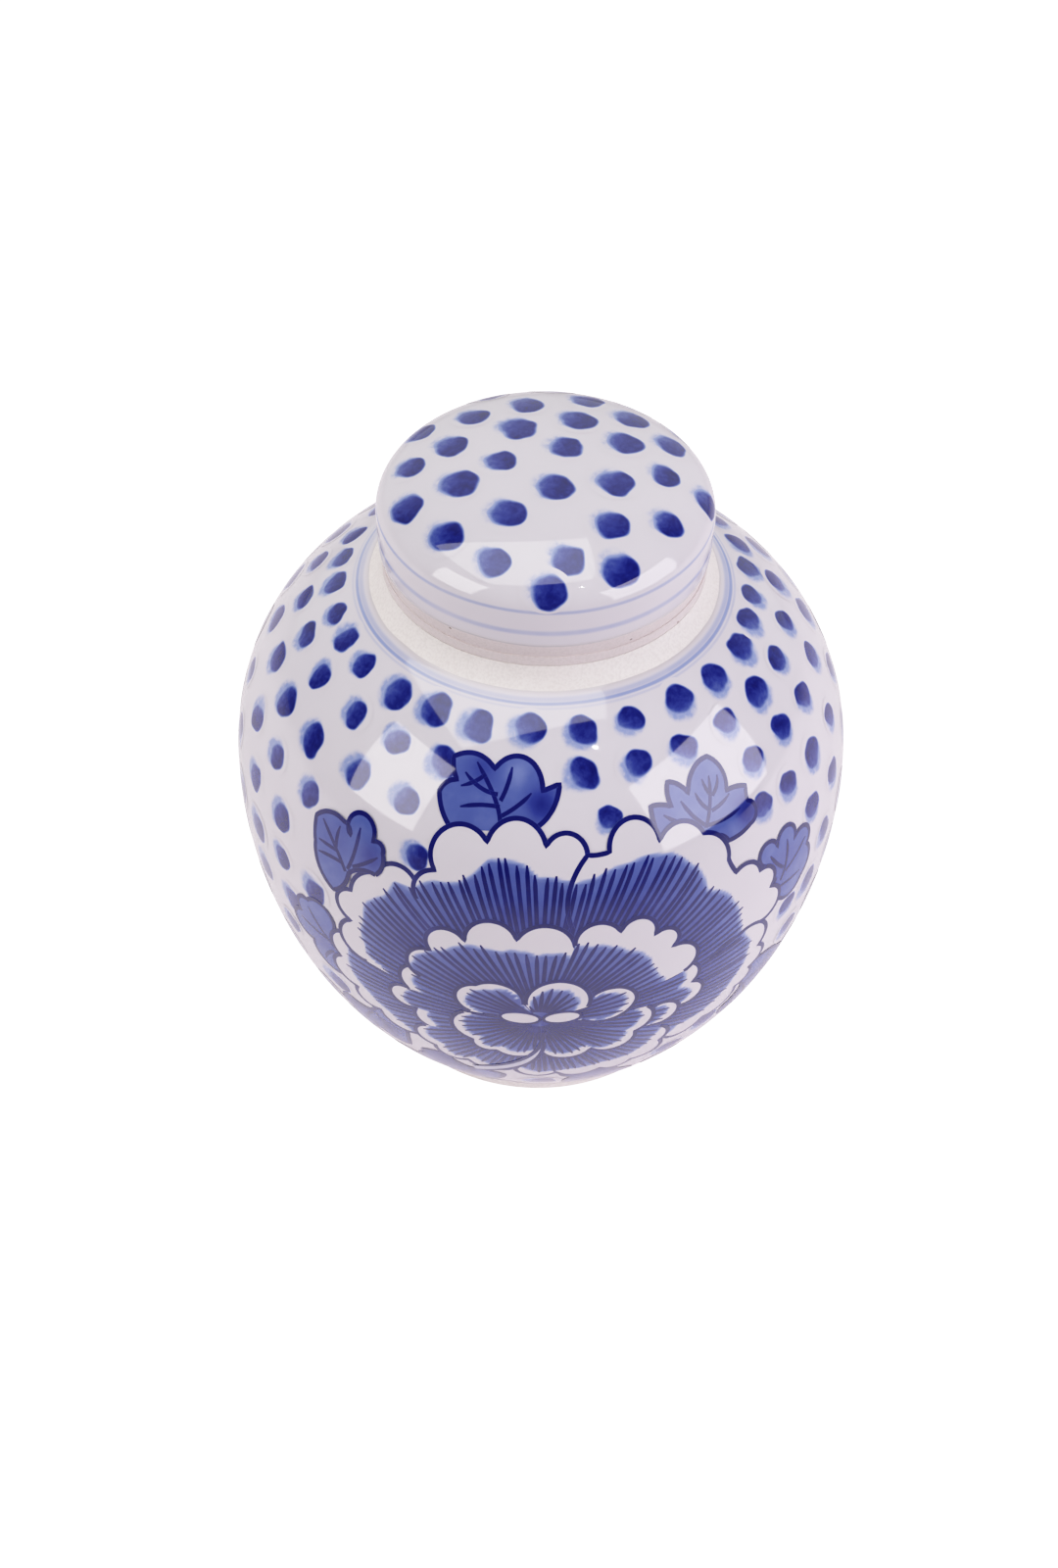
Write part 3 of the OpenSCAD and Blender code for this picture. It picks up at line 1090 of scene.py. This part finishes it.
def scallop(first, crest, last):
    """Points on the round arc from first through crest towards last, without last."""
    a = np.array(first, float)
    b = np.array(crest, float)
    c = np.array(last, float)
    double = 2.0 * (a[0] * (b[1] - c[1]) + b[0] * (c[1] - a[1]) + c[0] * (a[1] - b[1]))
    if abs(double) < 0.5:
        count = max(3, int(np.hypot(*(c - a)) / SCALLOP_STEP))
        return [tuple(a + (c - a) * k / count) for k in range(count)]
    squares = [p @ p for p in (a, b, c)]
    middle = np.array([
        squares[0] * (b[1] - c[1]) + squares[1] * (c[1] - a[1]) + squares[2] * (a[1] - b[1]),
        squares[0] * (c[0] - b[0]) + squares[1] * (a[0] - c[0]) + squares[2] * (b[0] - a[0]),
    ]) / double
    radius = np.hypot(*(a - middle))
    start = math.atan2(*(a - middle)[::-1])
    through = (math.atan2(*(b - middle)[::-1]) - start) % (2.0 * math.pi)
    sweep = (math.atan2(*(c - middle)[::-1]) - start) % (2.0 * math.pi)
    if through > sweep:
        sweep -= 2.0 * math.pi
    count = max(4, int(abs(sweep) * radius / SCALLOP_STEP))
    angles = start + sweep * np.arange(count) / count
    return [(middle[0] + radius * math.cos(t), middle[1] + radius * math.sin(t)) for t in angles]


def scalloped(line):
    """Whole rim from alternating cusps and crests: cusp, crest, cusp, crest, cusp."""
    points = []
    for k in range(0, len(line) - 2, 2):
        points.extend(scallop(line[k], line[k + 1], line[k + 2]))
    points.append(tuple(map(float, line[-1])))
    return points


def straight(first, last):
    count = max(2, int(math.hypot(last[0] - first[0], last[1] - first[1]) / STROKE_STEP))
    return [tuple(np.array(first) + (np.array(last) - first) * k / count) for k in range(count + 1)]


def polar(points):
    """Angle from straight down, and distance, of points from the root of the flower."""
    points = np.asarray(points, float)
    away = points - ROOT
    return np.arctan2(away[:, 0], away[:, 1]), np.hypot(away[:, 0], away[:, 1])


def petal(painting, rim, wash, wash_depth, ray_from, rng):
    """One petal: ground and wash, then rays, then outline. Wash is its edge, or its gap from the rim."""
    edge = scalloped(rim)
    rim_angle, rim_reach = polar(edge)
    middle = math.atan2(np.sin(rim_angle).mean(), np.cos(rim_angle).mean())
    if isinstance(wash, float):
        wash_angle = rim_angle
        wash_reach = rim_reach - wash
    else:
        wash_angle, wash_reach = polar(wash)

    def swing(angle):
        return (angle - middle + math.pi) % (2.0 * math.pi) - math.pi

    order = np.argsort(swing(wash_angle))
    steps = swing(wash_angle)[order]
    reaches = wash_reach[order]

    def wash_edge(angle):
        return np.interp(swing(angle), steps, reaches)

    def cobalt_at(points):
        angle, reach = polar(points)
        wave = 0.30 * np.sin(angle * 17.0 + 1.3) + 0.20 * np.sin(angle * 41.0)
        depth = wash_edge(angle) + wave - reach
        body = np.clip((depth + WASH_SHORE - 1.0) / WASH_SHORE, 0.0, 1.0)
        body = body * body * (3.0 - 2.0 * body)
        deeper = np.clip(depth / WASH_DEEPENS, 0.0, 1.0)
        return body * wash_depth * (0.84 + 0.38 * deeper)

    back = straight(edge[-1], ROOT)[1:]
    out = straight(ROOT, edge[0])[1:-1]
    painting.patch(edge + back + out, cobalt_at)
    first = swing(rim_angle).min()
    last = swing(rim_angle).max()
    at = first
    while at < last:
        angle = middle + at
        reach = float(wash_edge(np.array([angle]))[0]) + rng.uniform(*RAY_REACH_PLAY)
        if reach > ray_from + LEAST_RAY:
            bend = rng.uniform(-RAY_BEND, RAY_BEND)
            count = max(4, int((reach - ray_from) / STROKE_STEP))
            line = []
            for k in range(count + 1):
                away = ray_from + (reach - ray_from) * k / count
                turn = angle + bend * (k / count) ** 2
                line.append((ROOT[0] + away * math.sin(turn), ROOT[1] + away * math.cos(turn)))
            painting.stroke(line, RAY_HALF, FINE_TAPER, FINE_FRINGE)
        at += (RAY_GAP + rng.uniform(-RAY_GAP_PLAY, RAY_GAP_PLAY)) / max(reach, LEAST_REACH)
    painting.stroke(edge, OUTLINE_HALF)
    painting.next_layer()


OUTER_PETALS = [
    ([(-48, 81), (-58, 86), (-55.5, 91.5), (-59, 97), (-52, 103), (-52.5, 108.5), (-46, 110), (-42, 116.5),
      (-34, 115)],
     [(-52, 84), (-53, 95), (-50, 100), (-45, 107), (-38, 113)]),
    ([(-31, 54), (-37, 49.3), (-43, 54), (-48, 57), (-50, 63), (-54.5, 68.5), (-50, 73.5), (-54, 80),
      (-46, 87)],
     [(-30, 55), (-38, 54), (-40, 60), (-45, 64), (-47, 75), (-45, 84), (-40, 87)]),
    ([(48, 84), (52, 81), (56, 80), (66, 83), (65, 91), (68, 95.5), (64, 100), (65.5, 104.5), (61, 107),
      (60, 114), (52, 116), (46.5, 121), (40, 119), (36, 116), (35, 110)],
     [(58, 81), (61, 86), (61, 93), (58, 101), (54, 108), (48, 112), (42, 113)]),
    ([(-31, 57), (-31.5, 50.5), (-27, 47.5), (-26.5, 36.5), (-14, 37.5), (-5.5, 30.8), (2, 37.5), (8, 34.3),
      (13, 40)],
     [(-30, 52), (-20, 49), (-13, 42), (-8, 41.5), (-3, 42.5), (0, 45), (9, 47)]),
    ([(9, 61), (7.9, 50), (13, 40.2), (16, 40.4), (19, 40), (26, 32.5), (33, 40), (40, 36.8), (46, 42),
      (51.2, 45.5), (52, 52), (53, 55), (54, 57), (59, 56.5), (62, 61), (67, 63.5), (66, 69), (70, 75),
      (63, 80), (59, 79), (55, 80), (50, 81), (47, 84)],
     [(9, 48), (15, 46), (20, 44), (28, 43), (36, 44), (43, 50), (45, 58), (52, 63), (55, 70), (56, 80)]),
]
MIDDLE_PETALS = [
    ([(-24, 84.5), (-36, 85), (-34, 91), (-40, 95.5), (-32.5, 99.5), (-31.5, 107), (-23, 105)], 4.0),
    ([(-31, 108), (-35, 115), (-30, 120), (-27.5, 126), (-20.5, 125), (-13, 130.5), (-5, 124), (-1, 119),
      (2, 113)], 4.2),
    ([(36, 109), (39.5, 114), (38, 119), (38, 127), (31, 129), (26.5, 133.5), (21, 131), (14, 135),
      (7, 130.5), (0.5, 134), (-6, 128), (-3.2, 121), (1.5, 112)],
     [(-4, 126), (0, 129.5), (6, 129.5), (12, 128), (20, 126), (28, 124), (33, 120), (35, 113)]),
    ([(34, 84), (43, 83.5), (42.5, 90.5), (46.5, 95), (38, 99)], 4.0),
    ([(31, 97), (40, 101), (32, 106)], 3.6),
    ([(-30, 84), (-33.5, 77.5), (-27, 72.5), (-24, 63.8), (-18, 66.5), (-11, 58.8), (-5, 64), (3, 59.3),
      (9.5, 66), (11.3, 71), (11, 77)],
     [(-31, 76), (-25, 72), (-20, 68.5), (-10, 68), (0, 68.5), (8, 69), (11, 72)]),
    ([(9.5, 66), (15, 59.3), (21, 63), (27.5, 60), (30, 66.5), (35.5, 66.5), (35, 72.5), (42.5, 77.5),
      (39, 84)],
     [(11, 66), (20, 68), (27, 72), (31, 80), (33, 84)]),
]
INNER_PETALS = [
    ([(2, 108), (-4, 117), (-11, 114), (-15.5, 114), (-17.5, 109), (-22.5, 103.5), (-19, 95)], 3.4),
    ([(30, 95), (32.3, 101.5), (28, 107), (25.5, 114.5), (16, 113), (9, 118), (2, 107)], 3.6),
    ([(13, 88), (21, 83.3), (26.5, 89.5), (23, 96), (12, 96)], 3.0),
    ([(-17, 94), (-21, 88), (-15.5, 82), (-8, 80.6), (-3, 88.5)], 3.0),
    ([(-2.5, 88.5), (-0.5, 81.5), (5.5, 78.5), (12, 81.5), (13.5, 90)], 3.4),
]

flower_paint = porcelain(
    "flower cobalt",
    lambda tree, place: put(tree, "ShaderNodeAttribute", attribute_name="cobalt").outputs["Fac"],
)


def bowed(first, bow, last):
    """Smooth line from first to last, pulled towards bow."""
    a = np.array(first, float)
    b = np.array(bow, float)
    c = np.array(last, float)
    count = max(4, int((np.hypot(*(b - a)) + np.hypot(*(c - b))) / STROKE_STEP))
    steps = np.linspace(0.0, 1.0, count)[:, None]
    return a * (1.0 - steps) ** 2 + b * 2.0 * steps * (1.0 - steps) + c * steps ** 2


def oval(middle, half_across, half_high, tilt):
    angles = np.linspace(0.0, 2.0 * math.pi, EYE_POINTS, endpoint=False)
    lean = math.radians(tilt)
    x = half_across * np.cos(angles)
    y = half_high * np.sin(angles)
    across = middle[0] + x * math.cos(lean) - y * math.sin(lean)
    down = middle[1] + x * math.sin(lean) + y * math.cos(lean)
    return np.stack([across, down], axis=1)


# How dark the wash is, and how far from the root the rays start, in each ring of petals. The
# middle ring has some petals with a drawn wash, and some whose wash follows the rim.
OUTER_WASH, OUTER_RAYS = 0.56, 24.0
DRAWN_WASH, EVEN_WASH, MIDDLE_RAYS = 0.57, 0.58, 9.0
INNER_WASH, INNER_RAYS = 0.60, 3.5
STEM_WASH = 0.10
STEM_TAPER = 6.0
STEM = [
    (bowed((2.2, 101), (3.0, 121), (-20, 130)), 0.56),
    (bowed((2.4, 107), (3.5, 125), (-19, 133.5)), 0.52),
]
EYE_POINTS = 28
EYE_HALF = 0.40
EYES = [
    ((-4, 94.6), 5.3, 2.7, 4),
    ((7.0, 94.2), 5.0, 2.6, -8),
]


def paint_peony(painting, rng):
    """Three rings of petals from the outside in, then the stem and the two ovals of the eye."""
    for rim, wash in OUTER_PETALS:
        petal(painting, rim, wash, OUTER_WASH, OUTER_RAYS, rng)
    for rim, wash in MIDDLE_PETALS:
        depth = EVEN_WASH if isinstance(wash, float) else DRAWN_WASH
        petal(painting, rim, wash, depth, MIDDLE_RAYS, rng)
    for rim, wash in INNER_PETALS:
        petal(painting, rim, wash, INNER_WASH, INNER_RAYS, rng)
    upper = STEM[0][0]
    lower = STEM[1][0]
    painting.patch(np.concatenate([upper, lower[::-1]]), lambda points: np.full(len(points), STEM_WASH))
    for line, half in STEM:
        painting.stroke(line, half, STEM_TAPER)
    painting.next_layer()
    for middle, half_across, half_high, tilt in EYES:
        ring = oval(middle, half_across, half_high, tilt)
        painting.patch(ring, lambda points: np.zeros(len(points)))
        painting.stroke(np.concatenate([ring, ring[:1]]), EYE_HALF)
        painting.next_layer()


# ---- Leaves ---------------------------------------------------------------------------------
# Lobed leaves that show between and under the petals, washed about as dark as the flower, with
# a few veins. The lower two at the sides are less worked than those above the flower.

LEAF_WASH = 0.51
VEIN_HALF = 0.46

# Each leaf is its rim of cusps and crests, its veins, and its pools: where, how wide, how much.
LEAVES = [
    ([(-24, 36), (-27.5, 32.5), (-30, 27.5), (-28.5, 25), (-25.5, 23.8), (-27, 22), (-28.4, 18.5),
      (-21.5, 16.6), (-14.5, 19.5), (-8.5, 15.8), (-2, 17.5), (0.2, 20.5), (0.8, 24), (3, 23.2), (6, 22.3),
      (4, 28), (-1, 33)],
     [[(-11, 32), (-12, 26), (-20.5, 18.5)], [(-12.5, 25.5), (-18, 25.5), (-23.5, 21.5)],
      [(-11.5, 28.5), (-17, 28), (-23, 30)], [(-11.5, 27), (-9.5, 23), (-9, 18.5)],
      [(-11.5, 31), (-6, 28), (-2.5, 24.5)], [(-17, 21), (-19.5, 23.5), (-24, 25)]],
     [(1, 27, 4.5, 0.34), (-18, 19.5, 5.0, 0.18), (-7, 20, 3.0, -0.10)]),
    ([(33.5, 41), (32.4, 36), (32.3, 31), (35.4, 31.3), (38.5, 32.6), (38.1, 29.8), (39.2, 26.4), (42.3, 28),
      (44.5, 31), (46.8, 27.2), (54.5, 24.6), (57.4, 29.3), (56.3, 34.6), (59.5, 34.9), (63, 36.2),
      (62.2, 38.2), (62, 40), (64, 43), (61, 46), (57, 47), (53, 47), (49.5, 44), (45.5, 44.5)],
     [[(47, 41), (50.5, 36), (52.5, 29)], [(49.5, 37), (47, 35), (46.5, 31.5)],
      [(50, 37.5), (54, 37.2), (57, 35.6)], [(47.3, 40.5), (43.5, 37), (41.5, 32)],
      [(47.5, 40.5), (53, 41.5), (59, 40.5)], [(51.3, 34), (49.8, 31.5), (50, 29)],
      [(51.5, 34), (54.5, 32.5), (55.2, 29.8)], [(46, 40), (40, 38), (35.5, 34)]],
     [(61, 42, 4.0, 0.38), (36, 35, 4.0, 0.06), (56, 44, 3.0, -0.08)]),
    ([(-43, 54.5), (-49, 56), (-51, 58), (-52, 62), (-55.5, 66), (-61, 61), (-63, 55), (-64, 51.5),
      (-64.5, 48), (-60, 44.6), (-55.3, 44.8), (-53, 45.6), (-52.3, 47.4), (-53.8, 43.5), (-49.5, 40.2),
      (-46, 42.2), (-45.4, 46), (-43, 45.6), (-41.8, 48), (-41.3, 51), (-43, 54.5)],
     [[(-52, 58), (-55, 53), (-62, 47.5)], [(-53.5, 56), (-58, 56), (-61.5, 57)],
      [(-51.5, 57), (-49.5, 52), (-49.8, 44)], [(-55.5, 53.5), (-59.5, 53.5), (-62, 53.5)],
      [(-56, 52.5), (-56.5, 49.5), (-56, 46.5)], [(-50, 55.5), (-46.5, 53), (-43, 49.5)]],
     [(-45, 50, 4.0, 0.22), (-57, 50, 5.0, 0.10)]),
    ([(-57, 83), (-61.5, 75), (-66, 77.5), (-70, 79.5), (-69.5, 84), (-73, 89.5), (-66, 93), (-65, 100),
      (-57, 101), (-54.5, 96), (-56, 91), (-58.2, 87), (-57, 83)],
     [[(-57, 90), (-62, 86), (-66, 80)], [(-60, 88), (-65, 88), (-70, 87)],
      [(-58, 92), (-62, 95), (-63, 99)]],
     [(-60, 90, 6.0, 0.10)]),
    ([(64, 61), (64.8, 54.5), (69, 58), (73, 54), (76, 60), (82.5, 60.5), (82, 66), (83.5, 71), (80, 76),
      (75, 78.8), (70, 76), (67.2, 72), (68, 68), (64, 65.5), (64, 61)],
     [[(70, 70), (73, 65), (73, 58)], [(72, 68), (77, 66), (81, 63)], [(70, 72), (75, 73), (79, 73)],
      [(71, 66), (68, 63), (66, 59)]],
     [(74, 66, 6.0, 0.08)]),
]

# The upper left leaf lies over the petals. Turned and made larger, it is also each low leaf.
SIDE_LEAF = LEAVES[2]
SIDE_LEAF_MIDDLE = (-53.0, 54.0)
UNDER_LEAVES = LEAVES[:2] + LEAVES[3:]
LOW_LEAVES = [
    ((-50, 119), 205.0, 1.05),
    ((-24, 138), 250.0, 1.15),
    ((24, 140), 285.0, 1.20),
    ((70, 112), 140.0, 1.15),
]


def leaf(painting, rim, veins, pools):
    """One leaf: its wash, deeper where cobalt has pooled, then veins and outline."""
    edge = scalloped(rim)
    closed = edge[:-1] if rim[0] == rim[-1] else edge

    def cobalt_at(points):
        cobalt = np.full(len(points), LEAF_WASH)
        for across, down, reach, more in pools:
            away = np.hypot(points[:, 0] - across, points[:, 1] - down) / reach
            cobalt += more * np.exp(-away ** 2)
        return cobalt

    painting.patch(closed, cobalt_at)
    for first, bow, last in veins:
        painting.stroke(bowed(first, bow, last), VEIN_HALF, FINE_TAPER, FINE_FRINGE)
    painting.stroke(edge, OUTLINE_HALF)
    painting.next_layer()


def moved_leaf(to, turn, scale):
    """The side leaf somewhere else, turned and made larger."""
    rim, veins, pools = SIDE_LEAF
    angle = math.radians(turn)
    spin = np.array([[math.cos(angle), -math.sin(angle)], [math.sin(angle), math.cos(angle)]])

    def move(point):
        return tuple(np.array(to) + spin @ (np.array(point, float) - SIDE_LEAF_MIDDLE) * scale)

    new_pools = [(*move((across, down)), reach * scale, more) for across, down, reach, more in pools]
    return [move(p) for p in rim], [[move(p) for p in vein] for vein in veins], new_pools


for name, turn, start in (("front", 0.0, 21), ("back", math.pi, 42)):
    leaves = Painting()
    for low_leaf in LOW_LEAVES:
        leaf(leaves, *moved_leaf(*low_leaf))
    for under_leaf in UNDER_LEAVES:
        leaf(leaves, *under_leaf)
    leaves.finish("leaves_" + name, turn, flower_paint)
    flower = Painting()
    flower.layer = leaves.layer
    paint_peony(flower, random.Random(start))
    leaf(flower, *SIDE_LEAF)
    flower.finish("peony_" + name, turn, flower_paint)
